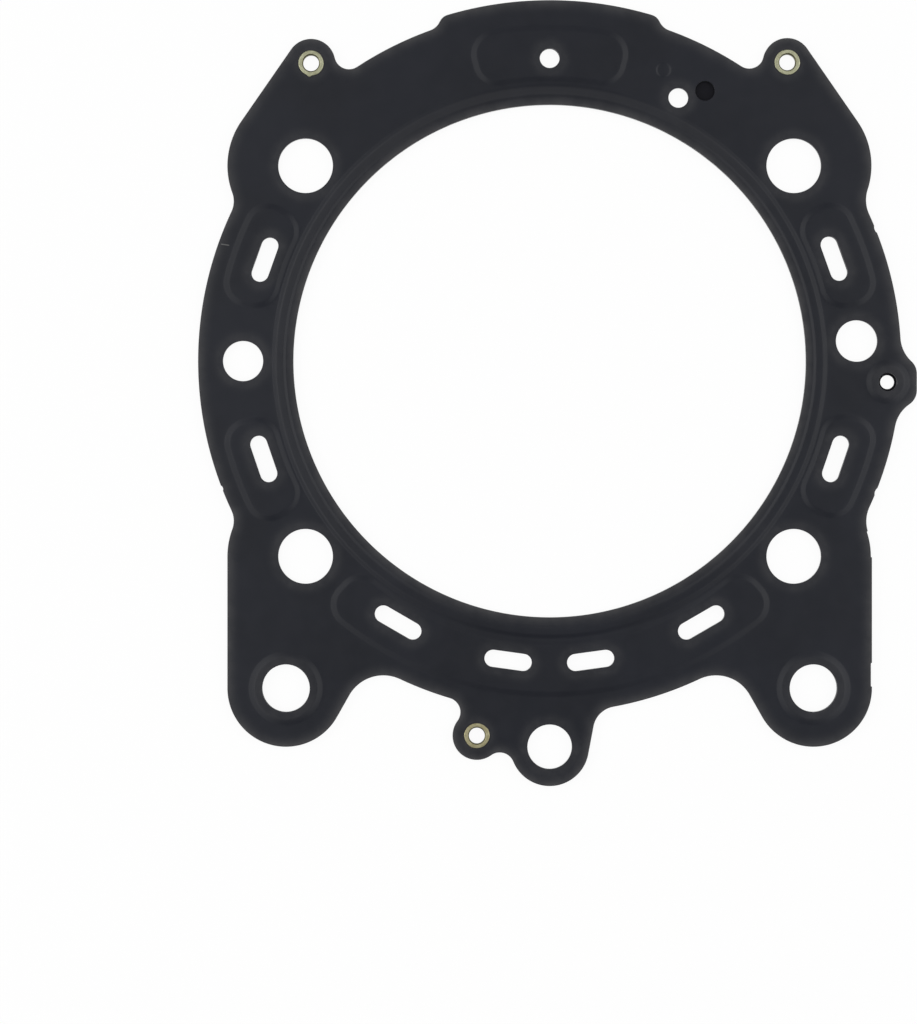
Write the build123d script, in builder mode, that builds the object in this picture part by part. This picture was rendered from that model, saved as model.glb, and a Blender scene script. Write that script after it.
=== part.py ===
"""Cylinder head gasket: a multi-layer steel gasket with embossed beads.

Three sheets lie on each other round one cylinder opening. The upper and
the lower layer are rubber-coated spring steel with embossed beads, the
carrier between them is plain, and a thin stopper ring on the carrier keeps
the bead round the cylinder from being pressed flat. Three hollow eyelets
rivet the pack together.

Frame: millimetres, Z along the cylinder axis and up, origin on that axis
at the height of the lowest bead crests, on which the gasket lies.
"""

import os
from math import asin, cos, degrees, radians, sin, sqrt

from build123d import *

# --- Thicknesses and bead height ---------------------------------------
sheet = 0.25                    # each beaded layer
carrier_sheet = 0.4             # plain middle layer
stopper_sheet = 0.1             # stopper ring on the carrier
bead_height = 0.25              # how far a bead stands out of its layer
bend_radius = 1.6               # soft bends at the foot and crest of a bead

# --- Cylinder opening and the ring round it -----------------------------
cylinder_diameter = 105.0
rim_width = 19.5                # from the opening to the ring's edge
stopper_width = 1.1
stopper_gap = 0.4               # flat from the stopper to the foot of the bead
bead_inner_slope = 0.6          # width of the bead's side towards the opening
bead_crest = 1.4                # width of its flat top
bead_outer_slope = 0.8
bore_bend_radius = 1.0

# --- Top pad: a low step on the ring ------------------------------------
pad_rise = 1.9
pad_half_angle = 16.44          # to the centre of its rounded shoulder
pad_shoulder_radius = 2.55
pad_foot_radius = 3.4

# --- Cylinder studs ------------------------------------------------------
stud_offset = 11.53             # stud axis to the opening's edge
stud_angle = 38.66              # four studs, mirrored both ways
stud_hole_diameter = 11.2
stud_wall = 10.4                # hole edge to the rounded corner's edge
stud_wall_upper_right = 10.3    # this corner is trimmed a little closer
stud_fillet_left = 5.0          # corner to the ring
stud_fillet_right = 7.0

# --- Lower legs with the outer bolts -------------------------------------
bolt_drop = 27.0                # bolt axis below the stud axis
bolt_hole_diameter = 9.75
bolt_wall = 7.125
leg_fillet = 8.0                # leg to the ring
leg_fillet_angle = 244.8

# --- Round tab at the bottom ---------------------------------------------
tab_reach = 7.0                 # tab axis beyond the ring's edge
tab_hole_diameter = 9.1
tab_wall = 3.5
tab_fillet = 5.0                # tab to the ring
tab_ear_fillet = 3.0            # tab to the ear beside it
tab_fillet_angle = 280.4

# --- Eyelets and the ears that hold them ---------------------------------
eyelet_reach = 6.15             # eyelet axis beyond the ring's edge
eyelet_angles = {"eyelet_right": 51.5, "eyelet_left": 128.7, "eyelet_lower": 259.0}
eyelet_bore = 3.25
eyelet_wall = 0.3
eyelet_lip_width = 0.66         # how far the rolled lip covers the sheet
eyelet_lip_height = 0.22
eyelet_lip_round = 0.12         # outer edge of the lip
eyelet_throat_round = 0.32      # where the tube wall rolls over into the lip
eyelet_clearance = 0.05
ear_wall = 3.0                  # sheet round an eyelet's hole
ear_fillet = 3.0

# --- Oil passage in the lobe on the right --------------------------------
oil_offset = 16.86
oil_angle = -3.55
oil_diameter = 2.85             # in the lower layer
oil_relief = 0.45               # the sheets above stop this much short
oil_bead_width = 3.07           # hole edge to the outer foot of its bead
lobe_wall = 1.48                # from the bead to the lobe's flat side
lobe_half_flat = 1.68
lobe_corner_radius = 3.5
lobe_fillet = 7.0               # lobe to the ring

# --- Other round holes: (offset from the opening, angle, diameter) --------
round_holes = {
    "left_passage": (10.3, 180.0, 8.25),
    "right_passage": (10.5, 3.74, 8.5),
    "top_vent": (9.5, 90.0, 4.05),
    "small_hole": (7.5, 63.94, 4.05),
}
blind_hole = (11.3, 60.1, 4.0)   # closed by the lower layer
button = (11.5, 68.65, 3.2)      # small round mark pressed into the upper layer
button_height = 0.1
button_slope = 0.4

# --- Coolant slots: angle and overall length -----------------------------
slot_offset = 9.4
slot_width = 3.55
slots = [
    (19.8, 9.45),
    (160.4, 9.45),
    (198.9, 9.85),
    (341.1, 9.85),
    (239.9, 10.5),
    (262.1, 9.75),
    (277.8, 9.75),
    (300.1, 10.5),
]

# --- Raised plateaus: the half beads that ring the slots -----------------
plateau_gap = 0.4               # flat between the bore bead and a plateau
plateau_margin = 3.2            # from the outer foot line to the ring's edge
plateau_slope = 1.1             # width of the sloping edge
plateau_corner = 5.0
corner_share = 0.45             # a corner takes at most this much of the width
plateaus = {
    "upper_right": (10.1, 30.0),
    "top": (75.5, 104.5),
    "upper_left": (150.2, 169.9),
    "lower_left": (190.7, 210.3),
    "bottom": (226.9, 313.3),
    "lower_right": (330.3, 349.9),
}
bolt_bead_width = 2.72          # hole edge to the outer foot of its bead
round_bead_slope = 1.2

# --- Small steps in the edge where two strokes of the press meet ----------
match_mark_angles = (22.8, 158.3, 202.9, 337.6)
match_mark_depth = 0.22
match_mark_radius = 0.9
relief_depth = 0.22             # two long shallow reliefs in the right leg's side
bolt_relief = (2.75, 4.9)       # middle above the bolt axis, length

# --- Worked out from the sizes above -------------------------------------
cylinder_radius = cylinder_diameter / 2
ring_radius = cylinder_radius + rim_width
bead_start_radius = cylinder_radius + stopper_width + stopper_gap
crest_start_radius = bead_start_radius + bead_inner_slope
crest_end_radius = crest_start_radius + bead_crest
bead_foot_radius = crest_end_radius + bead_outer_slope
bead_seam_radius = bead_foot_radius + plateau_gap / 2
plateau_inner_radius = bead_foot_radius + plateau_gap
plateau_outer_radius = ring_radius - plateau_margin
stud_hole_radius = stud_hole_diameter / 2
stud_lobe_radius = stud_hole_radius + stud_wall
bolt_hole_radius = bolt_hole_diameter / 2
leg_radius = bolt_hole_radius + bolt_wall
bolt_bead_radius = bolt_hole_radius + bolt_bead_width
tab_hole_radius = tab_hole_diameter / 2
tab_radius = tab_hole_radius + tab_wall
eyelet_tube_radius = eyelet_bore / 2 + eyelet_wall
eyelet_hole_radius = eyelet_tube_radius + eyelet_clearance
ear_radius = eyelet_hole_radius + ear_wall
oil_bead_radius = oil_diameter / 2 + oil_bead_width

lower_face = bead_height                        # flat of the lower layer
carrier_face = lower_face + sheet
upper_face = carrier_face + carrier_sheet       # underside of the upper layer
top_face = upper_face + sheet
full_height = top_face + bead_height
lip_span = eyelet_wall + eyelet_lip_width
eyelet_length = top_face - lower_face + 2 * eyelet_lip_height


def spot(radius, angle):
    """Point at a radius and an angle about the cylinder axis."""
    return Vector(radius * cos(radians(angle)), radius * sin(radians(angle)))


def nest(first, second, radius, side):
    """Centre of the circle that touches two discs from outside.

    Each disc is (centre, radius). The centre lies left (side 1) or right
    (side -1) of the way from the first disc to the second.
    """
    way = second[0] - first[0]
    reach_1 = first[1] + radius
    reach_2 = second[1] + radius
    along = (way.length**2 + reach_1**2 - reach_2**2) / (2 * way.length)
    across = sqrt(reach_1**2 - along**2)
    ahead = way.normalized()
    return first[0] + ahead * along + ahead.rotate(Axis.Z, 90) * across * side


def tangent(first, second):
    """Ends of the straight line from one directed circle to the next."""
    way = second[0] - first[0]
    lean = max(-1.0, min(1.0, (second[1] - first[1]) / way.length))
    ahead = way.normalized()
    normal = ahead * lean + ahead.rotate(Axis.Z, 90) * sqrt(1 - lean**2)
    return first[0] - normal * first[1], second[0] - normal * second[1]


def arc_middle(circle, start, end):
    """Point halfway along the arc of a directed circle."""
    centre, radius = circle
    turn = (start - centre).get_signed_angle(end - centre, Vector(0, 0, 1))
    if turn * radius < 0:
        turn += 360 if radius > 0 else -360
    return centre + (start - centre).rotate(Axis.Z, turn / 2)


def belt(circles, grow=0.0):
    """Face inside a closed outline that runs round circles like a belt.

    Each circle is (centre, radius). A positive radius is passed
    counter-clockwise and bulges out, a negative one is a hollow. grow
    moves the whole outline out, or in if it is negative.
    """
    grown = [(centre, radius + grow) for centre, radius in circles]
    joints = [tangent(grown[i - 1], grown[i]) for i in range(len(grown))]
    touching = 1e-3
    with BuildSketch() as face:
        with BuildLine():
            for i, circle in enumerate(grown):
                line_start, arc_start = joints[i]
                if (arc_start - line_start).length > touching:
                    Line(line_start, arc_start)
                else:
                    arc_start = line_start
                arc_end = joints[(i + 1) % len(grown)][0]
                ThreePointArc(arc_start, arc_middle(circle, arc_start, arc_end), arc_end)
        make_face()
    return face.sketch


def mirrored(point):
    """The same point on the other side of the plane X = 0."""
    return Vector(-point.X, point.Y)


# --- Places of the holes and lobes ---------------------------------------
axis_point = Vector(0, 0)
ring = (axis_point, ring_radius)
stud_upper_right = spot(cylinder_radius + stud_offset, stud_angle)
stud_lower_right = Vector(stud_upper_right.X, -stud_upper_right.Y)
studs = [
    stud_upper_right,
    mirrored(stud_upper_right),
    mirrored(stud_lower_right),
    stud_lower_right,
]
bolt_right = stud_lower_right + Vector(stud_lobe_radius - leg_radius, -bolt_drop)
bolts = [bolt_right, mirrored(bolt_right)]
tab = Vector(0, -ring_radius - tab_reach)
eyelets = {
    name: spot(ring_radius + eyelet_reach, angle)
    for name, angle in eyelet_angles.items()
}
oil = spot(cylinder_radius + oil_offset, oil_angle)
lower_right_hollow = nest(ring, (stud_lower_right, stud_lobe_radius), stud_fillet_right, 1)


def outline_circles():
    """The gasket's outline as circles, counter-clockwise from the oil lobe."""
    ear_right = (eyelets["eyelet_right"], ear_radius)
    ear_left = (eyelets["eyelet_left"], ear_radius)
    ear_lower = (eyelets["eyelet_lower"], ear_radius)
    tab_disc = (tab, tab_radius)
    lobes = [(stud, stud_lobe_radius) for stud in studs]
    lobes[0] = (stud_upper_right, stud_hole_radius + stud_wall_upper_right)
    legs = [(bolt, leg_radius) for bolt in bolts]
    corner_x = oil.X + oil_bead_radius + lobe_wall - lobe_corner_radius
    corner_low = (Vector(corner_x, oil.Y - lobe_half_flat), lobe_corner_radius)
    corner_high = (Vector(corner_x, oil.Y + lobe_half_flat), lobe_corner_radius)
    pad_radius = ring_radius + pad_rise
    shoulder = spot(pad_radius - pad_shoulder_radius, 90 - pad_half_angle)
    pad_foot = nest(ring, (shoulder, pad_shoulder_radius), pad_foot_radius, -1)
    leg_hollow = spot(ring_radius + leg_fillet, leg_fillet_angle)
    tab_hollow = spot(ring_radius + tab_fillet, tab_fillet_angle)
    return [
        ring,
        (nest(ring, lobes[0], stud_fillet_right, -1), -stud_fillet_right),
        lobes[0],
        ear_right,
        (nest(ring, ear_right, ear_fillet, 1), -ear_fillet),
        ring,
        (pad_foot, -pad_foot_radius),
        (shoulder, pad_shoulder_radius),
        (axis_point, pad_radius),
        (mirrored(shoulder), pad_shoulder_radius),
        (mirrored(pad_foot), -pad_foot_radius),
        ring,
        (nest(ring, ear_left, ear_fillet, -1), -ear_fillet),
        ear_left,
        lobes[1],
        (nest(ring, lobes[1], stud_fillet_left, 1), -stud_fillet_left),
        ring,
        (nest(ring, lobes[2], stud_fillet_left, -1), -stud_fillet_left),
        lobes[2],
        legs[1],
        (leg_hollow, -leg_fillet),
        ring,
        (nest(ring, ear_lower, ear_fillet, -1), -ear_fillet),
        ear_lower,
        (nest(ear_lower, tab_disc, tab_ear_fillet, -1), -tab_ear_fillet),
        tab_disc,
        (tab_hollow, -tab_fillet),
        ring,
        (mirrored(leg_hollow), -leg_fillet),
        legs[0],
        lobes[3],
        (lower_right_hollow, -stud_fillet_right),
        ring,
        (nest(ring, corner_low, lobe_fillet, -1), -lobe_fillet),
        corner_low,
        corner_high,
        (nest(ring, corner_high, lobe_fillet, 1), -lobe_fillet),
    ]


def plateau_circles(start, end):
    """A ring sector with round corners, as circles, counter-clockwise."""
    inner = plateau_inner_radius
    outer = plateau_outer_radius
    corner = min(plateau_corner, corner_share * (outer - inner))
    inner_corner = inner + corner
    outer_corner = outer - corner
    inner_turn = degrees(asin(corner / inner_corner))
    outer_turn = degrees(asin(corner / outer_corner))
    return [
        (axis_point, outer),
        (spot(outer_corner, end - outer_turn), corner),
        (spot(inner_corner, end - inner_turn), corner),
        (axis_point, -inner),
        (spot(inner_corner, start + inner_turn), corner),
        (spot(outer_corner, start + outer_turn), corner),
    ]


def sheet_outline():
    """The gasket's outline, with the small steps that the press leaves."""
    with BuildSketch() as outline:
        add(belt(outline_circles()))
        for angle in match_mark_angles:
            with Locations(spot(ring_radius - match_mark_depth + match_mark_radius, angle)):
                Circle(match_mark_radius, mode=Mode.SUBTRACT)
        rise, length = bolt_relief
        with Locations(Location((bolt_right.X + leg_radius, bolt_right.Y + rise), (0, 0, 90))):
            SlotOverall(length, 2 * relief_depth, mode=Mode.SUBTRACT)
        corner_end = lower_right_hollow - stud_lower_right
        corner_turn = Vector(1, 0).get_angle(corner_end)
        corner_edge = CenterArc(stud_lower_right, stud_lobe_radius, 0, corner_turn)
        SlotArc(corner_edge, 2 * relief_depth, mode=Mode.SUBTRACT)
    return outline.sketch


def punched_holes():
    """Everything that is punched through all three sheets."""
    with BuildSketch() as holes:
        Circle(cylinder_radius)
        with Locations(*studs):
            Circle(stud_hole_radius)
        with Locations(*bolts):
            Circle(bolt_hole_radius)
        with Locations(tab):
            Circle(tab_hole_radius)
        with Locations(*eyelets.values()):
            Circle(eyelet_hole_radius)
        for offset_out, angle, diameter in round_holes.values():
            with Locations(spot(cylinder_radius + offset_out, angle)):
                Circle(diameter / 2)
        for angle, length in slots:
            place = spot(cylinder_radius + slot_offset, angle)
            with Locations(Location(place, (0, 0, angle + 90))):
                SlotOverall(length, slot_width)
    return holes.sketch


def plateau_shapes():
    """Every plateau as a (foot face, crest face) pair."""
    pairs = []
    for start, end in plateaus.values():
        circles = plateau_circles(start, end)
        pairs.append((belt(circles), belt(circles, -plateau_slope)))
    round_beads = [(bolt, bolt_bead_radius) for bolt in bolts] + [(oil, oil_bead_radius)]
    for centre, radius in round_beads:
        pairs.append((disc(centre, radius), disc(centre, radius - round_bead_slope)))
    return pairs


def button_shape():
    """The small round mark as a (foot face, crest face) pair."""
    offset_out, angle, diameter = button
    centre = spot(cylinder_radius + offset_out, angle)
    return disc(centre, diameter / 2), disc(centre, diameter / 2 - button_slope)


def disc(centre, radius):
    """Round face."""
    with BuildSketch() as face:
        with Locations(centre):
            Circle(radius)
    return face.sketch


def press(shapes, outer, inner, rise):
    """Press shapes out of the sheet that lies between two flats.

    shapes are (foot face, crest face) pairs. outer is the height of the
    flat that they stand out of, inner that of the sheet's other side. A
    negative rise presses them down.
    """
    for foot, crest in shapes:
        for level, mode in ((outer, Mode.ADD), (inner, Mode.SUBTRACT)):
            low = foot.moved(Location((0, 0, level)))
            high = crest.moved(Location((0, 0, level + rise)))
            loft([low, high], ruled=True, mode=mode)


def plateau_bends(part):
    """Edges along the foot and the crest of each plateau, on both sides.

    Of the level faces only the two flats have lines inside them, and those
    are the feet. Each of the others is a crest.
    """
    bends = ShapeList()
    for face in part.faces().filter_by(Plane.XY):
        for line in face.inner_wires() or [face.outer_wire()]:
            bends.extend(line.edges())
    return bends


def bore_bead_section(outer, inner, rise, lift):
    """Half section of a beaded sheet's inner edge.

    The lip at the opening is raised by lift, to lie on the stopper. Then
    come the flat-topped bead and a short stretch of flat as far as the seam.
    """
    with BuildSketch(Plane.XZ) as section:
        with BuildLine():
            sides = []
            for side in (outer, inner):
                bends = [
                    (cylinder_radius, side + lift),
                    (bead_start_radius, side + lift),
                    (crest_start_radius, side + rise),
                    (crest_end_radius, side + rise),
                    (bead_foot_radius, side),
                    (bead_seam_radius, side),
                ]
                sides.append(FilletPolyline(*bends, radius=bore_bend_radius))
            Line(sides[0] @ 0, sides[1] @ 0)
            Line(sides[0] @ 1, sides[1] @ 1)
        make_face()
    return section.sketch


def deep_holes():
    """Holes that stop at the lower layer, and the wide mouth of the oil hole."""
    offset_out, angle, diameter = blind_hole
    with BuildSketch() as holes_to_lower:
        with Locations(spot(cylinder_radius + offset_out, angle)):
            Circle(diameter / 2)
        with Locations(oil):
            Circle(oil_diameter / 2 + oil_relief)
    return holes_to_lower.sketch


# --- The sheets ------------------------------------------------------------
outline = sheet_outline()
holes = punched_holes()
pierced = deep_holes()

with BuildPart() as upper_layer:
    with BuildSketch(Plane.XY.offset(upper_face)):
        add(outline)
    extrude(amount=sheet)
    press(plateau_shapes(), top_face, upper_face, bead_height)
    fillet(plateau_bends(upper_layer.part), bend_radius)
    press([button_shape()], top_face, upper_face, button_height)
    with BuildSketch(Plane.XY.offset(upper_face)):
        Circle(bead_seam_radius)
    extrude(amount=sheet, mode=Mode.SUBTRACT)
    revolve(bore_bead_section(top_face, upper_face, bead_height, stopper_sheet), axis=Axis.Z)
    with BuildSketch():
        add(holes)
        add(pierced)
    extrude(amount=full_height, mode=Mode.SUBTRACT)
upper_layer.part.label = "upper_layer"

with BuildPart() as carrier_layer:
    with BuildSketch(Plane.XY.offset(carrier_face)):
        add(outline)
        add(holes, mode=Mode.SUBTRACT)
        add(pierced, mode=Mode.SUBTRACT)
    extrude(amount=carrier_sheet)
carrier_layer.part.label = "carrier_layer"

with BuildPart() as lower_layer:
    with BuildSketch(Plane.XY.offset(lower_face)):
        add(outline)
    extrude(amount=sheet)
    press(plateau_shapes(), lower_face, carrier_face, -bead_height)
    fillet(plateau_bends(lower_layer.part), bend_radius)
    with BuildSketch(Plane.XY.offset(lower_face)):
        Circle(bead_seam_radius)
    extrude(amount=sheet, mode=Mode.SUBTRACT)
    revolve(bore_bead_section(lower_face, carrier_face, -bead_height, 0), axis=Axis.Z)
    with BuildSketch():
        add(holes)
        with Locations(oil):
            Circle(oil_diameter / 2)
    extrude(amount=full_height, mode=Mode.SUBTRACT)
lower_layer.part.label = "lower_layer"

with BuildPart() as stopper_ring:
    with BuildSketch(Plane.XY.offset(upper_face)):
        Circle(cylinder_radius + stopper_width)
        Circle(cylinder_radius, mode=Mode.SUBTRACT)
    extrude(amount=stopper_sheet)
stopper_ring.part.label = "stopper_ring"

# --- The eyelets -------------------------------------------------------------
rivets = []
for name, place in eyelets.items():
    with BuildPart() as eyelet:
        with BuildSketch(Plane(origin=place, x_dir=(1, 0, 0), z_dir=(0, -1, 0))) as section:
            with Locations((eyelet_bore / 2, lower_face - eyelet_lip_height)):
                Rectangle(eyelet_wall, eyelet_length, align=(Align.MIN, Align.MIN))
                Rectangle(lip_span, eyelet_lip_height, align=(Align.MIN, Align.MIN))
            with Locations((eyelet_bore / 2, top_face)):
                Rectangle(lip_span, eyelet_lip_height, align=(Align.MIN, Align.MIN))
            lip_ends = section.vertices().group_by(Axis.X)[-1].sort_by(Axis.Y)
            fillet([lip_ends[0], lip_ends[-1]], eyelet_lip_round)
            throats = section.vertices().group_by(Axis.X)[0]
            fillet(throats, eyelet_throat_round)
        revolve(axis=Axis(place, (0, 0, 1)))
    eyelet.part.label = name
    rivets.append(eyelet.part)

os.makedirs("parts", exist_ok=True)
export_step(upper_layer.part, "parts/upper_layer.step")
export_step(carrier_layer.part, "parts/carrier_layer.step")
export_step(lower_layer.part, "parts/lower_layer.step")
export_step(stopper_ring.part, "parts/stopper_ring.step")
for rivet in rivets:
    export_step(rivet, f"parts/{rivet.label}.step")
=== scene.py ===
"""Looks of a multi-layer steel head gasket, lying flat and seen from above.

The beaded layers and the carrier are built again as fine meshes with the
sheared edges slightly rounded, and the coating is painted lighter along them:
a painted glow of light, partly also wear of the coating.
Lengths are in mm until a mesh is made, and points are complex numbers.
"""

import math
from cmath import exp, phase

import bpy
import numpy as np
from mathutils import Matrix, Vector
from mathutils.geometry import delaunay_2d_cdt
from mathutils.kdtree import KDTree


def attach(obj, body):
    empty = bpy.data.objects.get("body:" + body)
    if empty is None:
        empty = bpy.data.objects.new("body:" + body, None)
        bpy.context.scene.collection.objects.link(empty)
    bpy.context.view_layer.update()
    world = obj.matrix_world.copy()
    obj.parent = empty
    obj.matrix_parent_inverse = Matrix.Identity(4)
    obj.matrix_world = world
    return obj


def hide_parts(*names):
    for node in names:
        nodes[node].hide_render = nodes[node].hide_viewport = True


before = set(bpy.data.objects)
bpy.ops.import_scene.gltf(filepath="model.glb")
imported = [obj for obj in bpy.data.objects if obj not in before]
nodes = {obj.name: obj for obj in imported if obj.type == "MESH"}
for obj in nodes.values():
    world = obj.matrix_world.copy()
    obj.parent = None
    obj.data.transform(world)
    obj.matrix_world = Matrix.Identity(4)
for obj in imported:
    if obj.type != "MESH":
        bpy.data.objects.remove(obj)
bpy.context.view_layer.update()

MM = 0.001

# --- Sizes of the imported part, in mm and degrees -----------------------------
BEAD_HEIGHT = 0.25
BEND_RADIUS = 1.6
LOWER_FACE = 0.25               # flat of the lower layer
CARRIER_FACE = 0.5
UPPER_FACE = 0.9                # underside of the upper layer
TOP_FACE = 1.15
LIP_LIFT = 0.1                  # the upper layer's lip lies on the stopper

CYLINDER = 52.5
RING = 72.0
BEAD_START, BEAD_FOOT = 54.0, 56.8
INNER_SLOPE, OUTER_SLOPE = 0.6, 0.8
BORE_BEND = 1.0

PAD_RISE = 1.9
PAD_HALF_ANGLE = 16.44
PAD_SHOULDER, PAD_FOOT = 2.55, 3.4

STUD_HOLE = 5.6
STUD_LOBE, STUD_LOBE_TRIMMED = 16.0, 15.9
STUD_FILLET_LEFT, STUD_FILLET_RIGHT = 5.0, 7.0
BOLT_DROP = 27.0
BOLT_HOLE = 4.875
LEG = 12.0
LEG_FILLET, LEG_FILLET_ANGLE = 8.0, 244.8
TAB_HOLE = 4.55
TAB = 8.05
TAB_FILLET, TAB_EAR_FILLET, TAB_FILLET_ANGLE = 5.0, 3.0, 280.4
EAR_FILLET = 3.0
EYELET_BORE = 1.625
EYELET_TUBE = 1.925
EYELET_HOLE = 1.975
EYELET_LIP = 2.585
EAR = 4.975
EYELET_LIP_HEIGHT = 0.22
OIL_HOLE, OIL_MOUTH = 1.425, 1.875
OIL_BEAD = 4.495
LOBE_CORNER_X_REACH = 2.475     # from the oil hole to the corners' centres
LOBE_HALF_FLAT, LOBE_CORNER, LOBE_FILLET = 1.68, 3.5, 7.0
SLOT_PITCH, SLOT_WIDTH = 61.9, 3.55
PLATEAU_INNER, PLATEAU_OUTER = 57.2, 68.8
PLATEAU_SLOPE, PLATEAU_CORNER = 1.1, 5.0
BOLT_BEAD, ROUND_BEAD_SLOPE = 7.595, 1.2
BUTTON, BUTTON_SLOPE, BUTTON_HEIGHT = 1.6, 0.4, 0.1
BUTTON_BEND = 0.3
BLIND_HOLE = 2.0
MARK_DEPTH = 0.22
BOLT_RELIEF_RISE, BOLT_RELIEF_LENGTH = 2.75, 4.9


def spot(radius, angle):
    """Point at a radius and an angle about the cylinder axis."""
    return radius * exp(1j * math.radians(angle))


def mirrored(point):
    """The same point on the other side of the plane X = 0."""
    return -point.conjugate()


STUD = spot(64.03, 38.66)
STUDS = [STUD, mirrored(STUD), -STUD, STUD.conjugate()]
BOLT = STUDS[3] + STUD_LOBE - LEG - 1j * BOLT_DROP
BOLTS = [BOLT, mirrored(BOLT)]
TAB_POINT = -79j
EYELETS = {
    "eyelet_right": spot(78.15, 51.5),
    "eyelet_left": spot(78.15, 128.7),
    "eyelet_lower": spot(78.15, 259.0),
}
OIL = spot(69.36, -3.55)
BLIND = spot(63.8, 60.1)
BUTTON_POINT = spot(64.0, 68.65)
ROUND_HOLES = [
    (spot(62.8, 180.0), 4.125),
    (spot(63.0, 3.74), 4.25),
    (spot(62.0, 90.0), 2.025),
    (spot(60.0, 63.94), 2.025),
]
SLOTS = [
    (19.8, 9.45), (160.4, 9.45), (198.9, 9.85), (341.1, 9.85),
    (239.9, 10.5), (262.1, 9.75), (277.8, 9.75), (300.1, 10.5),
]
PLATEAUS = [
    (10.1, 30.0), (75.5, 104.5), (150.2, 169.9),
    (190.7, 210.3), (226.9, 313.3), (330.3, 349.9),
]
# Angle and radius of the dips in the ring's edge, where the photo has them. The
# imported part's own four are up to 2.1 mm away along the edge.
MATCH_MARKS = {22.0: 1.6, 201.2: 0.9, 338.2: 1.6}
ROUND_BEADS = [(BOLTS[0], BOLT_BEAD), (BOLTS[1], BOLT_BEAD), (OIL, OIL_BEAD)]


# --- Outlines as loops of points ---------------------------------------------
TOUCHING = 1e-3
WIDEST_TURN = math.radians(9)   # of one chord on an arc


def nest(first, second, radius, side):
    """Centre of the circle that touches two discs from outside."""
    way = second[0] - first[0]
    reach_1 = first[1] + radius
    reach_2 = second[1] + radius
    along = (abs(way) ** 2 + reach_1**2 - reach_2**2) / (2 * abs(way))
    across = math.sqrt(reach_1**2 - along**2)
    return first[0] + way / abs(way) * (along + 1j * side * across)


def tangent(first, second):
    """Ends of the straight line from one directed circle to the next."""
    way = second[0] - first[0]
    lean = max(-1.0, min(1.0, (second[1] - first[1]) / abs(way)))
    normal = way / abs(way) * (lean + 1j * math.sqrt(1 - lean**2))
    return first[0] - normal * first[1], second[0] - normal * second[1]


def steps(length, turn, pitch):
    """How many chords a run is divided into."""
    return max(1, math.ceil(length / pitch), math.ceil(abs(turn) / WIDEST_TURN))


def arc(centre, start, turn, pitch):
    """Points on an arc from start, without its end."""
    count = steps(abs(turn) * abs(start - centre), turn, pitch)
    return [centre + (start - centre) * exp(1j * turn * k / count) for k in range(count)]


def circle(centre, radius, pitch):
    """Closed loop of points on a circle."""
    return arc(centre, centre + radius, 2 * math.pi, pitch)


def belt(circles, grow, pitch):
    """Closed loop that runs round directed circles like a belt."""
    grown = [(centre, radius + grow) for centre, radius in circles]
    joints = [tangent(grown[i - 1], grown[i]) for i in range(len(grown))]
    points = []
    for i, (centre, radius) in enumerate(grown):
        start = joints[i][1]
        end, ahead = joints[(i + 1) % len(grown)]
        turn = phase((end - centre) / (start - centre))
        if turn * radius < 0:
            turn += math.copysign(2 * math.pi, radius)
        points += arc(centre, start, turn, pitch)
        if abs(ahead - end) > TOUCHING:
            count = steps(abs(ahead - end), 0, pitch)
            points += [end + (ahead - end) * k / count for k in range(count)]
    return points


def outline_circles():
    """The gasket's outline as circles, counter-clockwise from the oil lobe."""
    ring = (0j, RING)
    ears = {name: (place, EAR) for name, place in EYELETS.items()}
    tab = (TAB_POINT, TAB)
    lobes = [(stud, STUD_LOBE) for stud in STUDS]
    lobes[0] = (STUDS[0], STUD_LOBE_TRIMMED)
    legs = [(bolt, LEG) for bolt in BOLTS]
    corner_x = OIL.real + LOBE_CORNER_X_REACH
    corner_low = (complex(corner_x, OIL.imag - LOBE_HALF_FLAT), LOBE_CORNER)
    corner_high = (complex(corner_x, OIL.imag + LOBE_HALF_FLAT), LOBE_CORNER)
    pad = RING + PAD_RISE
    shoulder = (spot(pad - PAD_SHOULDER, 90 - PAD_HALF_ANGLE), PAD_SHOULDER)
    pad_foot = nest(ring, shoulder, PAD_FOOT, -1)
    leg_hollow = spot(RING + LEG_FILLET, LEG_FILLET_ANGLE)
    return [
        ring,
        (nest(ring, lobes[0], STUD_FILLET_RIGHT, -1), -STUD_FILLET_RIGHT),
        lobes[0],
        ears["eyelet_right"],
        (nest(ring, ears["eyelet_right"], EAR_FILLET, 1), -EAR_FILLET),
        ring,
        (pad_foot, -PAD_FOOT),
        shoulder,
        (0j, pad),
        (mirrored(shoulder[0]), PAD_SHOULDER),
        (mirrored(pad_foot), -PAD_FOOT),
        ring,
        (nest(ring, ears["eyelet_left"], EAR_FILLET, -1), -EAR_FILLET),
        ears["eyelet_left"],
        lobes[1],
        (nest(ring, lobes[1], STUD_FILLET_LEFT, 1), -STUD_FILLET_LEFT),
        ring,
        (nest(ring, lobes[2], STUD_FILLET_LEFT, -1), -STUD_FILLET_LEFT),
        lobes[2],
        legs[1],
        (leg_hollow, -LEG_FILLET),
        ring,
        (nest(ring, ears["eyelet_lower"], EAR_FILLET, -1), -EAR_FILLET),
        ears["eyelet_lower"],
        (nest(ears["eyelet_lower"], tab, TAB_EAR_FILLET, -1), -TAB_EAR_FILLET),
        tab,
        (spot(RING + TAB_FILLET, TAB_FILLET_ANGLE), -TAB_FILLET),
        ring,
        (mirrored(leg_hollow), -LEG_FILLET),
        legs[0],
        lobes[3],
        (LOWER_RIGHT_HOLLOW, -STUD_FILLET_RIGHT),
        ring,
        (nest(ring, corner_low, LOBE_FILLET, -1), -LOBE_FILLET),
        corner_low,
        corner_high,
        (nest(ring, corner_high, LOBE_FILLET, 1), -LOBE_FILLET),
    ]


LOWER_RIGHT_HOLLOW = nest((0j, RING), (STUDS[3], STUD_LOBE), STUD_FILLET_RIGHT, 1)


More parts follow.
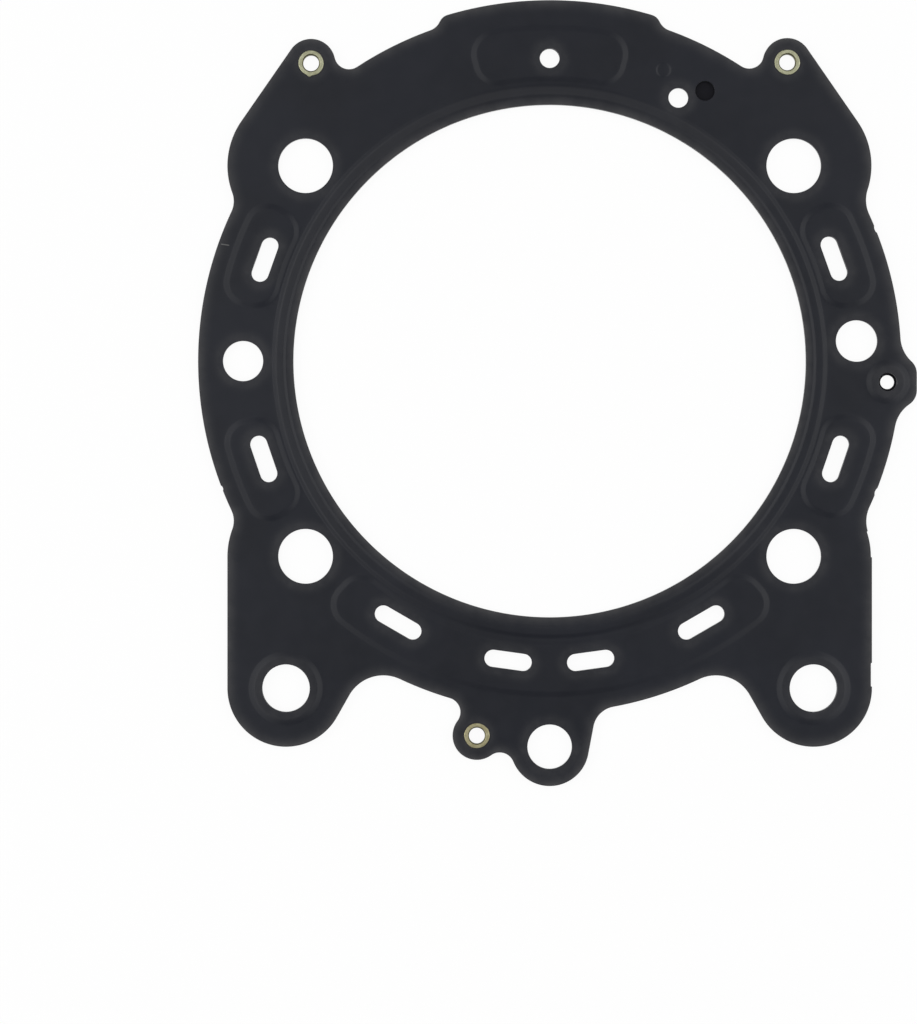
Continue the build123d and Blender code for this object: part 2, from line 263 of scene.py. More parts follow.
def reliefs(pitch):
    """Loops that cut the small steps into the outline."""
    loops = []
    for angle, radius in MATCH_MARKS.items():
        loops.append(circle(spot(RING - MARK_DEPTH + radius, angle), radius, pitch))
    flank = BOLTS[0] + LEG + BOLT_RELIEF_RISE * 1j
    half = BOLT_RELIEF_LENGTH / 2 - MARK_DEPTH
    ends = [(flank - half * 1j, MARK_DEPTH), (flank + half * 1j, MARK_DEPTH)]
    loops.append(belt(ends, 0, pitch))
    lobe = STUDS[3]
    turn = phase(LOWER_RIGHT_HOLLOW - lobe)
    start, end = lobe + STUD_LOBE, lobe + STUD_LOBE * exp(1j * turn)
    deep = MARK_DEPTH / STUD_LOBE
    band = arc(lobe, start + MARK_DEPTH, turn, pitch)
    band += arc(end, end + (end - lobe) * deep, math.pi, pitch)
    band += arc(lobe, end - (end - lobe) * deep, -turn, pitch)
    band += arc(start, start - MARK_DEPTH, math.pi, pitch)
    loops.append(band)
    return loops


def punched(pitch, oil, blind):
    """Loops of the holes in one sheet."""
    loops = [
        circle(0j, CYLINDER, pitch),
        circle(TAB_POINT, TAB_HOLE, pitch),
        circle(OIL, oil, pitch),
    ]
    loops += [circle(stud, STUD_HOLE, pitch) for stud in STUDS]
    loops += [circle(bolt, BOLT_HOLE, pitch) for bolt in BOLTS]
    loops += [circle(place, EYELET_HOLE, pitch) for place in EYELETS.values()]
    loops += [circle(place, radius, pitch) for place, radius in ROUND_HOLES]
    for angle, length in SLOTS:
        reach = (length - SLOT_WIDTH) / 2 * spot(1, angle + 90)
        middle = spot(SLOT_PITCH, angle)
        ends = [(middle - reach, SLOT_WIDTH / 2), (middle + reach, SLOT_WIDTH / 2)]
        loops.append(belt(ends, 0, pitch))
    if blind:
        loops.append(circle(BLIND, BLIND_HOLE, pitch))
    return loops


def plateau_corners(start, end):
    """A ring sector with round corners, as directed circles."""
    inner, outer, corner = PLATEAU_INNER, PLATEAU_OUTER, PLATEAU_CORNER
    inner_turn = math.degrees(math.asin(corner / (inner + corner)))
    outer_turn = math.degrees(math.asin(corner / (outer - corner)))
    return [
        (0j, outer),
        (spot(outer - corner, end - outer_turn), corner),
        (spot(inner + corner, end - inner_turn), corner),
        (0j, -inner),
        (spot(inner + corner, start + inner_turn), corner),
        (spot(outer - corner, start + outer_turn), corner),
    ]


# --- Heights of the beads ----------------------------------------------------
PROFILE_SAMPLES = 4001
SHORTEST_BEND = 1e-6
FAR_OUTSIDE = -9.0              # a depth that stands for "nowhere near the plateau"
PLATEAU_SLACK = 0.3             # radians past its sides, where it is still worked out


def bent(places, levels, radius):
    """Profile through straight runs whose bends are rounded, as dense samples."""
    across = np.linspace(places[0], places[-1], PROFILE_SAMPLES)
    height = np.interp(across, places, levels)
    slopes = np.diff(levels) / np.diff(places)
    for i in range(1, len(places) - 1):
        before, after = math.atan(slopes[i - 1]), math.atan(slopes[i])
        reach = radius * abs(math.tan((after - before) / 2))
        start = places[i] - reach * math.cos(before)
        end = places[i] + reach * math.cos(after)
        if end - start < SHORTEST_BEND:
            continue
        t = (across - start) / (end - start)
        on = (t > 0) & (t < 1)
        low = levels[i] - reach * math.sin(before)
        high = levels[i] + reach * math.sin(after)
        t = t[on]
        height[on] = (1 - t) ** 2 * low + 2 * t * (1 - t) * levels[i] + t**2 * high
    return across, height


def plateau_depth(point, start, end):
    """How far inside the foot line of a plateau each point lies."""
    inner, outer, corner = PLATEAU_INNER, PLATEAU_OUTER, PLATEAU_CORNER
    half = math.radians(end - start) / 2
    radius = np.abs(point)
    aside = np.abs(np.angle(point * spot(1, -(start + end) / 2)))
    near = aside < half + PLATEAU_SLACK
    from_side = radius * np.sin(half - aside)
    along = radius * np.cos(half - aside)
    depth = np.minimum(np.minimum(outer - radius, radius - inner), from_side)
    for middle, sign in ((outer - corner, 1), (inner + corner, -1)):
        centre_along = math.sqrt(middle**2 - corner**2)
        beyond = sign * (along - centre_along) > 0
        beside = from_side * centre_along < along * corner
        rounded = corner - np.hypot(along - centre_along, from_side - corner)
        depth = np.where(beyond & beside & near, rounded, depth)
    return np.where(near, depth, FAR_OUTSIDE)


def half_bead(slope, height, radius, before, after):
    """Profile of one sloping side, by the depth inside its foot line.

    before and after are the lengths of the flat runs on its two sides.
    """
    return bent([-before, 0, slope, after], [0, 0, height, height], radius)


PLATEAU_PROFILE = half_bead(PLATEAU_SLOPE, BEAD_HEIGHT, BEND_RADIUS, before=3, after=40)
ROUND_PROFILE = half_bead(ROUND_BEAD_SLOPE, BEAD_HEIGHT, BEND_RADIUS, before=3, after=40)
BUTTON_PROFILE = half_bead(BUTTON_SLOPE, BUTTON_HEIGHT, BUTTON_BEND, before=1, after=3)
BORE_BENDS = [
    CYLINDER - 1, BEAD_START, BEAD_START + INNER_SLOPE,
    BEAD_FOOT - OUTER_SLOPE, BEAD_FOOT, BEAD_FOOT + 1,
]


def rise(point, lift, button):
    """How far the sheet stands out of its flat at each point."""
    radius = np.abs(point)
    levels = [lift, lift, BEAD_HEIGHT, BEAD_HEIGHT, 0, 0]
    across, height = bent(BORE_BENDS, levels, BORE_BEND)
    result = np.interp(radius, across, height)
    for start, end in PLATEAUS:
        depth = plateau_depth(point, start, end)
        result = np.maximum(result, np.interp(depth, *PLATEAU_PROFILE))
    for centre, foot in ROUND_BEADS:
        depth = foot - np.abs(point - centre)
        result = np.maximum(result, np.interp(depth, *ROUND_PROFILE))
    if button:
        depth = BUTTON - np.abs(point - BUTTON_POINT)
        result = np.maximum(result, np.interp(depth, *BUTTON_PROFILE))
    return result


FINE_BESIDE = (-0.18, -0.06, 0.06, 0.18)    # lines beside each end of a slope
COARSE_BESIDE = (-0.18, 0.18)
BUTTON_DEPTHS = (-0.06, 0.03, 0.12, 0.28, 0.37, 0.46)
BORE_LINE_PITCH = 1.2           # times the pitch of the other lines


def ladder(slope, fine):
    """Depths of the lines that follow one sloping side."""
    beside = FINE_BESIDE if fine else COARSE_BESIDE
    middle = [slope / 2] if fine else []
    return list(beside) + middle + [offset + slope for offset in beside]


def bead_lines(pitch, fine, button):
    """Loops along the bends, so that the mesh follows them."""
    loops = []
    for depth in ladder(INNER_SLOPE, fine):
        loops.append(circle(0j, BEAD_START + depth, pitch * BORE_LINE_PITCH))
    for depth in ladder(OUTER_SLOPE, fine):
        loops.append(circle(0j, BEAD_FOOT - depth, pitch * BORE_LINE_PITCH))
    for start, end in PLATEAUS:
        for depth in ladder(PLATEAU_SLOPE, fine):
            loops.append(belt(plateau_corners(start, end), -depth, pitch))
    for centre, foot in ROUND_BEADS:
        for depth in ladder(ROUND_BEAD_SLOPE, fine):
            loops.append(circle(centre, foot - depth, pitch))
    if button:
        for depth in BUTTON_DEPTHS:
            loops.append(circle(BUTTON_POINT, BUTTON - depth, pitch))
    return loops


# --- Triangles ---------------------------------------------------------------
SHORTEST_SIDE = 0.03            # shorter sides of a border are left out
SAME_POINT = 1e-5
TRIANGLES_INSIDE = 1            # the kind of result asked from delaunay_2d_cdt
SHARPEST_INSET = 0.6            # keeps an inset corner from shooting far out
GRID_LEFT, GRID_LOW = -85, -95
GRID_WIDTH, GRID_HEIGHT = 170, 190
GRID_REACH = 100                # no metal is further out than this
GRID_CLEARANCE = 0.6            # share of the pitch kept clear round other points


def triangulate(solid, voids, lines=(), loose=()):
    """Points, triangles and where each point of the solid and void loops went.

    Lines are closed loops that triangles' sides follow, and loose points are
    used as they are.
    """
    points, edges, faces = [], [], []
    for loop in solid + voids:
        order = list(range(len(points), len(points) + len(loop)))
        faces.append(order if turned_area(np.array(loop)) > 0 else order[::-1])
        points += loop
    on_loops = len(points)
    for loop in lines:
        first, count = len(points), len(loop)
        edges += [(first + k, first + (k + 1) % count) for k in range(count)]
        points += loop
    points += loose
    flat = [Vector((p.real, p.imag)) for p in points]
    made = delaunay_2d_cdt(flat, edges, faces, TRIANGLES_INSIDE, SAME_POINT)
    spots, _, triangles, origins, _, owners = made
    in_solid = set(range(len(solid)))
    in_void = set(range(len(solid), len(solid) + len(voids)))
    kept = []
    for triangle, owner in zip(triangles, owners):
        if in_solid.intersection(owner) and not in_void.intersection(owner):
            kept.append(list(triangle))
    place = {}
    for k, sources in enumerate(origins):
        place.update({source: k for source in sources if source < on_loops})
    return np.array([complex(s.x, s.y) for s in spots]), kept, place


def borders(points, triangles):
    """Closed loops round the triangles, with the metal on their left."""
    sides = set()
    for a, b, c in triangles:
        sides |= {(a, b), (b, c), (c, a)}
    following = {a: b for a, b in sides if (b, a) not in sides}
    loops = []
    while following:
        first, at = following.popitem()
        loop = [first]
        while at != first:
            loop.append(at)
            at = following.pop(at)
        corners = points[loop]
        loops.append(corners[np.abs(np.roll(corners, -1) - corners) > SHORTEST_SIDE])
    return loops


def turned_area(loop):
    """Signed area inside a loop."""
    after = np.roll(loop, -1)
    return float(np.sum(loop.real * after.imag - loop.imag * after.real)) / 2


def inset(loop, amount):
    """The loop moved into the metal."""
    ahead = np.roll(loop, -1) - loop
    ahead /= np.abs(ahead)
    normal = 1j * (ahead + np.roll(ahead, 1))
    normal /= np.abs(normal)
    cosine = np.maximum((normal.conj() * 1j * ahead).real, SHARPEST_INSET)
    return loop + normal * amount / cosine


def tree_of(points):
    """Search tree over flat points."""
    tree = KDTree(len(points))
    for k, p in enumerate(points):
        tree.insert((p.real, p.imag, 0), k)
    tree.balance()
    return tree


def hex_grid(pitch, keep_off):
    """Evenly spread points, none of them near the given ones."""
    tree = tree_of(keep_off)
    points = []
    row_pitch = pitch * math.sqrt(3) / 2
    for j in range(int(GRID_HEIGHT / row_pitch)):
        y = GRID_LOW + j * row_pitch
        for i in range(int(GRID_WIDTH / pitch)):
            x = GRID_LEFT + (i + (j % 2) / 2) * pitch
            clear = tree.find((x, y, 0))[2] > GRID_CLEARANCE * pitch
            if CYLINDER < math.hypot(x, y) < GRID_REACH and clear:
                points.append(complex(x, y))
    return points


# --- Sheets ------------------------------------------------------------------
ROLL = 0.06                     # radius of a sheared edge's rounded side
ROLL_TURNS = (0, 30, 60, 90)
EDGE_LINES = (0.14, 0.32)       # how far in from an edge rows of points are added
RIM_CLEARANCE = 0.05            # of those, points nearer the rim are left out
LOOP_PITCH = 0.45
LINE_PITCH = 0.6
BACK_LINE_PITCH = 1.2
GRID_PITCH = 0.9
SIDE_SAMPLES = 4                # points that stand for one side of a loop
EDGE_REACH = 6.0                # distances to an edge count up to here
WIDEST_HOLE = 20.0              # only the outline and the bore reach this far out
HOLE_GLOW_OFFSET = 1.1                  # holes get the painted glow of light and the wear as if their edges were this far off
SHARPEST_SMOOTH = math.radians(40)
FACE, CUT, BACK = 0, 1, 2       # places in a sheet's list of materials


def joined(loops):
    """Neighbouring points of closed loops as index pairs, and all the points."""
    pairs, first = [], 0
    for loop in loops:
        count = len(loop)
        pairs += [(first + k, first + (k + 1) % count) for k in range(count)]
        first += count
    return pairs, np.concatenate(loops)


def edge_distances(points, loops):
    """Distance from each point to the nearest of the loops, in mm."""
    samples = []
    for loop in loops:
        side = np.roll(loop, -1) - loop
        samples += [loop + side * k / SIDE_SAMPLES for k in range(SIDE_SAMPLES)]
    tree = tree_of(np.concatenate(samples))
    found = [tree.find((p.real, p.imag, 0))[2] for p in points]
    return np.array([min(EDGE_REACH, distance) for distance in found])


def glow_and_wear_distances(points, loops):
    """Distance to the nearest edge that gets the painted glow of light and the wear,
    longer round the holes.

    The blind hole doesn't count, since nothing passes through it.
    """
    wide, holes = [], []
    for loop in loops:
        if np.abs(loop - loop.mean()).max() >= WIDEST_HOLE:
            wide.append(loop)
        elif abs(loop.mean() - BLIND) > BLIND_HOLE:
            holes.append(loop)
    by_hole = np.maximum(edge_distances(points, holes), HOLE_GLOW_OFFSET)
    return np.minimum(edge_distances(points, wide), by_hole)


def filling(loops, rims, lines):
    """Loose points of a face: rows along its edges and a grid between them."""
    rows = [inset(loop, reach) for loop in loops for reach in EDGE_LINES]
    beside = [p for row in rows for p in row]
    clear = edge_distances(beside, rims)
    fill = [p for p, distance in zip(beside, clear) if distance > RIM_CLEARANCE]
    return fill + hex_grid(GRID_PITCH, [p for line in lines for p in line] + fill)


def used_only(flat, level, faces):
    """Points that belong to a face, and the faces numbered to match."""
    used = np.unique(np.concatenate([np.array(face) for face in faces]))
    renumber = np.zeros(len(flat), dtype=int)
    renumber[used] = np.arange(len(used))
    faces = [[int(renumber[k]) for k in face] for face in faces]
    return flat[used], level[used], faces


def new_mesh(name, corners, faces, slots, materials, body="root"):
    """Object with smooth faces, riding on a body."""
    mesh = bpy.data.meshes.new(name)
    mesh.from_pydata((corners * MM).tolist(), [], faces)
    for material in materials:
        mesh.materials.append(material)
    mesh.polygons.foreach_set("material_index", np.array(slots, dtype=np.int32))
    mesh.polygons.foreach_set("use_smooth", np.ones(len(faces), dtype=bool))
    mesh.set_sharp_from_angle(angle=SHARPEST_SMOOTH)
    piece = bpy.data.objects.new(name, mesh)
    bpy.context.scene.collection.objects.link(piece)
    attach(piece, body)
    return piece


def point_values(piece, name, values):
    """Gives a piece a number at each point, for its materials to read."""
    attribute = piece.data.attributes.new(name, "FLOAT", "POINT")
    attribute.data.foreach_set("value", values.astype(np.float32))


def punched_sheet(
    name, node, materials, face_height, back_height, up, oil,
    blind=True, lines=(), back_lines=(), loose=True,
):
    """One punched sheet that stands for a CAD node.

    Its face is the side that is seen, and up tells whether that is the upper
    one. The face's edges are rounded and the back's are sharp.
    """
    metal, kept, _ = triangulate(
        [belt(outline_circles(), 0, LOOP_PITCH)],
        reliefs(LOOP_PITCH) + punched(LOOP_PITCH, oil, blind),
    )
    loops = sorted(borders(metal, kept), key=turned_area, reverse=True)
    rims = [inset(loop, ROLL) for loop in loops]
    face, face_triangles, face_place = triangulate(
        [list(rims[0])], [list(rim) for rim in rims[1:]],
        lines, filling(loops, rims, lines) if loose else [],
    )
    back, back_triangles, back_place = triangulate(
        [list(loops[0])], [list(loop) for loop in loops[1:]], back_lines
    )
    pairs, border = joined(loops)
    sign = 1 if up else -1

    # points: the face, then the rings of the rounded edge, then the back
    places = [face]
    heights = [face_height(face)]
    rings = [[face_place[k] for k in range(len(border))]]
    count = len(face)
    for turn in ROLL_TURNS[1:]:
        swing = math.radians(turn)
        reach = ROLL * (1 - math.sin(swing))
        ring = np.concatenate([inset(loop, reach) for loop in loops])
        places.append(ring)
        heights.append(face_height(ring) - sign * ROLL * (1 - math.cos(swing)))
        rings.append(list(range(count, count + len(ring))))
        count += len(ring)
    places.append(back)
    heights.append(back_height(back))
    rings.append([count + back_place[k] for k in range(len(border))])

    faces = [triangle if up else triangle[::-1] for triangle in face_triangles]
    slots = [FACE] * len(faces)
    for k, (high, low) in enumerate(zip(rings, rings[1:])):
        for a, b in pairs:
            quad = [high[a], low[a], low[b], high[b]]
            faces.append(quad if up else quad[::-1])
        slots += [FACE if k < len(ROLL_TURNS) - 1 else CUT] * len(pairs)
    for a, b, c in back_triangles:
        triangle = [count + a, count + b, count + c]
        faces.append(triangle[::-1] if up else triangle)
    slots += [BACK] * len(back_triangles)

    flat, level = np.concatenate(places), np.concatenate(heights)
    flat, level, faces = used_only(flat, level, faces)
    corners = np.column_stack([flat.real, flat.imag, level])
    piece = new_mesh(name, corners, faces, slots, materials)
    point_values(piece, "edge", glow_and_wear_distances(flat, loops))
    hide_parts(node)
    return piece


# --- Eyelets -----------------------------------------------------------------
THROAT = 0.32                   # radius where the tube rolls over into the lip
LIP_ROUND = 0.12
QUARTER_TURN = np.radians(np.linspace(0, 90, 7))    # points of each rounding
LIP_STEPS = 4
EYELET_SIDES = 96
UNEVEN_ORDERS = range(2, 8)     # how many waves of unevenness go round a lip
LIP_WAVER, LIP_SWELL = 0.035, 0.02
LIP_SINK = 0.01                 # taken off a lip's height before it swells
ANY_PHASE = 7                   # radians
TONGUE_WIDTH = math.radians(9)
ABOVE = 1e-6                    # by how much a point has to stand out of the face


def rolled_section():
    """Closed section of an eyelet as (radius, height) pairs, from the bore up."""
    top = TOP_FACE + EYELET_LIP_HEIGHT
    upper = []
    for t in QUARTER_TURN:
        radius = EYELET_BORE + THROAT * (1 - math.cos(t))
        upper.append((radius, top - THROAT * (1 - math.sin(t))))
    width = EYELET_LIP - LIP_ROUND - EYELET_BORE - THROAT
    for k in range(1, LIP_STEPS):
        upper.append((EYELET_BORE + THROAT + width * k / LIP_STEPS, top))
    for t in QUARTER_TURN:
        radius = EYELET_LIP - LIP_ROUND * (1 - math.sin(t))
        upper.append((radius, top - LIP_ROUND * (1 - math.cos(t))))
    upper += [(EYELET_LIP, TOP_FACE), (EYELET_TUBE, TOP_FACE)]
    middle = TOP_FACE + LOWER_FACE
    lower = [(radius, middle - height) for radius, height in reversed(upper)]
    return upper + lower


def rolled_eyelet(node, place, materials, seed, tongues):
    """Hollow rivet whose upper lip is a little uneven, as rolled lips are.

    tongues are (angle, reach) pairs where the lip stands out further.
    """
    random = np.random.default_rng(seed)
    section = np.array(rolled_section())
    angles = np.radians(np.arange(EYELET_SIDES) * 360 / EYELET_SIDES)
    waver = np.zeros(EYELET_SIDES)
    swell = np.zeros(EYELET_SIDES)
    for order in UNEVEN_ORDERS:
        for uneven, size in ((waver, LIP_WAVER), (swell, LIP_SWELL)):
            start = random.uniform(0, ANY_PHASE)
            uneven += size / order * np.cos(order * angles + start)
    for angle, reach in tongues:
        off = np.angle(np.exp(1j * (angles - math.radians(angle))))
        waver += reach * np.exp(-((off / TONGUE_WIDTH) ** 2))
    share = np.clip((section[:, 0] - EYELET_TUBE) / (EYELET_LIP - EYELET_TUBE), 0, 1)
    over = (section[:, 1] - TOP_FACE) / EYELET_LIP_HEIGHT
    raised = np.where(section[:, 1] > TOP_FACE + ABOVE, over, 0) * share
    upper = section[:, 1] > CARRIER_FACE
    corners = []
    for k, angle in enumerate(angles):
        radius = section[:, 0] + share * np.where(upper, waver[k], 0)
        height = section[:, 1] + raised * min(0.0, swell[k] - LIP_SINK)
        around = radius * np.exp(1j * angle) + place
        corners.append(np.column_stack([around.real, around.imag, height]))
    count = len(section)
    faces = []
    for k in range(EYELET_SIDES):
        here, after = k * count, (k + 1) % EYELET_SIDES * count
        for i in range(count):
            j = (i + 1) % count
            faces.append([here + j, after + j, after + i, here + i])
    slots = [FACE] * len(faces)
    piece = new_mesh(node + "_rolled", np.concatenate(corners), faces, slots, materials)
    inwards = np.clip((EYELET_BORE + THROAT - section[:, 0]) / THROAT, 0, 1)
    point_values(piece, "throat", np.tile(inwards, EYELET_SIDES))
    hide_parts(node)
    return piece


# --- Materials ---------------------------------------------------------------
def graph(owner):
    """Clears a material's or the world's nodes and gives a function that adds one."""
    owner.use_nodes = True
    tree = owner.node_tree
    tree.nodes.clear()

    def add(kind, sockets=None, **settings):
        made = tree.nodes.new("ShaderNode" + kind)
        for key, value in settings.items():
            setattr(made, key, value)
        for key, value in (sockets or {}).items():
            if isinstance(value, bpy.types.NodeSocket):
                tree.links.new(value, made.inputs[key])
            else:
                made.inputs[key].default_value = value
        return made

    return add


def noise(add, coords, size, detail=3.0, roughness=0.55):
    """Noise whose blots are about size mm across."""
    sockets = {"Vector": coords, "Scale": 1 / (size * MM)}
    sockets.update({"Detail": detail, "Roughness": roughness})
    return add("TexNoise", sockets).outputs["Fac"]


def ranged(add, value, low, high, to_low, to_high):
    """Value from one range brought into another, and held there."""
    sockets = {"Value": value, "From Min": low, "From Max": high}
    sockets.update({"To Min": to_low, "To Max": to_high})
    made = add("MapRange", sockets, clamp=True, interpolation_type="SMOOTHSTEP")
    return made.outputs["Result"]


def math_node(add, operation, first, second):
    """One sum, product or the like."""
    return add("Math", {0: first, 1: second}, operation=operation).outputs[0]


def product(add, first, *others):
    """All the values multiplied."""
    for other in others:
        first = math_node(add, "MULTIPLY", first, other)
    return first


def mixed(add, share, first, second):
    """Colour between two."""
    sockets = {"Factor": share, 6: first, 7: second}
    return add("Mix", sockets, data_type="RGBA").outputs[2]


def point_number(add, name):
    """Number that point_values gave a piece."""
    return add("Attribute", attribute_name=name, attribute_type="GEOMETRY").outputs["Fac"]


def finish_material(add, sockets):
    """Ends a graph in one plain surface."""
    add("OutputMaterial", {"Surface": add("BsdfPrincipled", sockets).outputs[0]})


# (x, y, radius, strength) of light specks on the upper side, in mm
SPECKS = [
    (-49.95, 20.71, 0.14, 0.4),
    (-54.25, 5.54, 0.14, 0.4),
    (-37.85, -48.17, 0.16, 0.5),
]
SPECK_CORE = 0.4                # share of a speck's radius that is fully light
BARE = (0.3, 0.3, 0.29, 1)      # colour of specks and the scratch

# One scratch on the upper side, in mm
SCRATCH_START, SCRATCH_END, SCRATCH_Y = -67.3, -65.5, 23.8
SCRATCH_FALL = 0.15             # how far it drops for each mm to the right
SCRATCH_HALF_WIDTH = (0.03, 0.17)    # fully light, and in all
SCRATCH_STRENGTH = 0.33
SCRATCH_SHARP, SCRATCH_SOFT = 0.1, 0.3    # how its two ends fade
UPPER_SIDE = (TOP_FACE - 0.3, TOP_FACE - 0.1)

# The bore bead's crest is painted lighter in the edges' glow and wear colour, but not at
# the lower and right sides.
CREST_GLOW_AND_WEAR = 0.2
CREST_FROM, CREST_TO = (54.3, 54.8), (56.0, 56.5)      # radii
CREST_LOW_FADE, CREST_RIGHT_FADE = (-50, -28), (38, 50)

VEIL_WIDTH = 3.0                # how far in from an edge the painted glow of light, and the coating's wear, reach
VEIL_POWER = 2.2
CLOUD_SIZE, MOTTLE_SIZE, GRAIN_SIZE = 26, 3.2, 0.3
MOTTLE_TINT = (1.5, 1.4, 1.35)
SMEAR_SIZE, TARNISH_SIZE, SCUFF_SIZE = 1.7, 1.1, 0.16
# colour of the painted shade down an eyelet's throat
PAINTED_THROAT_SHADE = (0.1, 0.095, 0.05, 1)

# Parts of a noise's range, whose values are mostly near 0.5
MOST, CORE = (0.3, 0.7), (0.35, 0.65)
SMEAR_CORE, TARNISH_CORE = (0.42, 0.62), (0.35, 0.66)


def in_mm(span):
    """A span in mm, in metres."""
    return span[0] * MM, span[1] * MM


def crest_glow_and_wear(add, coords, axes):
    """How strongly the bore bead's crest is painted lighter with the glow and wear
    colour.
    """
    flatways = add("VectorMath", {0: coords, 1: (1, 1, 0)}, operation="MULTIPLY")
    length = add("VectorMath", {0: flatways.outputs["Vector"]}, operation="LENGTH")
    radius = length.outputs["Value"]
    return product(
        add,
        ranged(add, radius, *in_mm(CREST_FROM), 0, CREST_GLOW_AND_WEAR),
        ranged(add, radius, *in_mm(CREST_TO), 1, 0),
        ranged(add, axes.outputs["Y"], *in_mm(CREST_LOW_FADE), 0, 1),
        ranged(add, axes.outputs["X"], *in_mm(CREST_RIGHT_FADE), 1, 0),
    )


def scratch_share(add, axes):
    """How strongly the scratch shows."""
    x, y, z = (axes.outputs[name] for name in "XYZ")
    middle = (SCRATCH_START + SCRATCH_END) / 2
    along = math_node(add, "SUBTRACT", x, middle * MM)
    across = math_node(add, "SUBTRACT", y, SCRATCH_Y * MM)
    across = math_node(add, "ADD", across, product(add, along, SCRATCH_FALL))
    beside = math_node(add, "ABSOLUTE", across, 0.0)
    left = (SCRATCH_START - SCRATCH_SHARP, SCRATCH_START + SCRATCH_SHARP)
    right = (SCRATCH_END - SCRATCH_SOFT, SCRATCH_END)
    starts = ranged(add, x, *in_mm(left), 0, 1)
    ends = ranged(add, x, *in_mm(right), 1, 0)
    return product(
        add,
        ranged(add, beside, *in_mm(SCRATCH_HALF_WIDTH), SCRATCH_STRENGTH, 0),
        ranged(add, z, *in_mm(UPPER_SIDE), 0, 1),
        product(add, starts, ends),
    )


def bare_share(add, coords, axes):
    """How strongly the specks and the scratch show."""
    bright = scratch_share(add, axes)
    for x, y, size, strength in SPECKS:
        place = (x * MM, y * MM, TOP_FACE * MM)
        away = add("VectorMath", {0: coords, 1: place}, operation="DISTANCE")
        size *= MM
        dot = ranged(add, away.outputs["Value"], size * SPECK_CORE, size, strength, 0)
        bright = math_node(add, "MAXIMUM", bright, dot)
    return bright


def coat_material(name, flat, glow_and_wear_colour, dull, shine):
    """Satin rubber coating, painted lighter towards the sheared edges as a glow of light
    with some wear, and on the bore bead's crest.
    """
    material = bpy.data.materials.new(name)
    add = graph(material)
    coords = add("TexCoord").outputs["Object"]
    axes = add("SeparateXYZ", {"Vector": coords})
    cloud = noise(add, coords, CLOUD_SIZE, 2.0)
    mottle = noise(add, coords, MOTTLE_SIZE, 4.0)
    grain = noise(add, coords, GRAIN_SIZE, 3.0)
    # Painted glow of light, with some wear of the coating: lighter towards the edges, by
    # the distance to an edge.
    inwards = math_node(add, "DIVIDE", point_number(add, "edge"), VEIL_WIDTH)
    near = math_node(add, "MAXIMUM", math_node(add, "SUBTRACT", 1.0, inwards), 0.0)
    edge_glow_and_wear = math_node(add, "POWER", near, VEIL_POWER)
    patchy_glow_and_wear = product(add, edge_glow_and_wear, ranged(add, mottle, *MOST, 0.75, 1.25))

    darker, lighter = [c * 0.9 for c in flat], [c * 1.1 for c in flat]
    tinted = [c * tint for c, tint in zip(flat, MOTTLE_TINT)]
    shade = mixed(add, ranged(add, cloud, *CORE, 0, 1), (*darker, 1), (*lighter, 1))
    shade = mixed(add, ranged(add, mottle, *CORE, 0, 0.1), shade, (*tinted, 1))
    shade = mixed(add, patchy_glow_and_wear, shade, (*glow_and_wear_colour, 1))
    shade = mixed(add, crest_glow_and_wear(add, coords, axes), shade, (*glow_and_wear_colour, 1))
    shade = mixed(add, bare_share(add, coords, axes), shade, BARE)
    rough = math_node(
        add, "ADD",
        ranged(add, mottle, *MOST, dull - 0.02, dull + 0.02),
        ranged(add, grain, *MOST, -0.015, 0.015),
    )
    bump = add("Bump", {"Height": grain, "Distance": 0.004 * MM, "Strength": 0.3})
    finish_material(add, {
        "Base Color": shade, "Roughness": rough,
        "Normal": bump.outputs[0], "Specular IOR Level": shine,
    })
    return material


def steel_material(name, light, dark, dull, grain_size):
    """Sheared or rolled steel, smeared and with a fine grain."""
    material = bpy.data.materials.new(name)
    add = graph(material)
    coords = add("TexCoord").outputs["Object"]
    grain = noise(add, coords, grain_size, 5.0, 0.65)
    smear = noise(add, coords, SMEAR_SIZE, 3.0)
    shade = mixed(add, ranged(add, smear, *SMEAR_CORE, 0, 1), (*light, 1), (*dark, 1))
    rough = ranged(add, grain, *MOST, dull - 0.08, dull + 0.1)
    bump = add("Bump", {"Height": grain, "Distance": 0.01 * MM, "Strength": 0.5})
    finish_material(add, {
        "Base Color": shade, "Roughness": rough,
        "Normal": bump.outputs[0], "Metallic": 1.0,
    })
    return material


def brass_material(name, light, dark):
    """Pale olive plated brass, unevenly dulled, with painted shade down the throat."""
    material = bpy.data.materials.new(name)
    add = graph(material)
    coords = add("TexCoord").outputs["Object"]
    tarnish = noise(add, coords, TARNISH_SIZE, 4.0, 0.6)
    scuffs = noise(add, coords, SCUFF_SIZE, 4.0, 0.7)
    # painted shade, darker further down the throat
    deep = ranged(add, point_number(add, "throat"), 0.0, 0.55, 0, 1)
    patches = ranged(add, tarnish, *TARNISH_CORE, 0, 1)
    shade = mixed(add, patches, (*light, 1), (*dark, 1))
    shade = mixed(add, deep, shade, PAINTED_THROAT_SHADE)
    rough = ranged(add, scuffs, *MOST, 0.3, 0.46)
    bump = add("Bump", {"Height": scuffs, "Distance": 0.006 * MM, "Strength": 0.6})
    finish_material(add, {
        "Base Color": shade, "Roughness": rough,
        "Normal": bump.outputs[0], "Metallic": 1.0,
    })
    return material


coat = coat_material(
    "coat", flat=(0.0086, 0.0099, 0.0150), glow_and_wear_colour=(0.042, 0.042, 0.045),
    dull=0.31, shine=0.26,
)
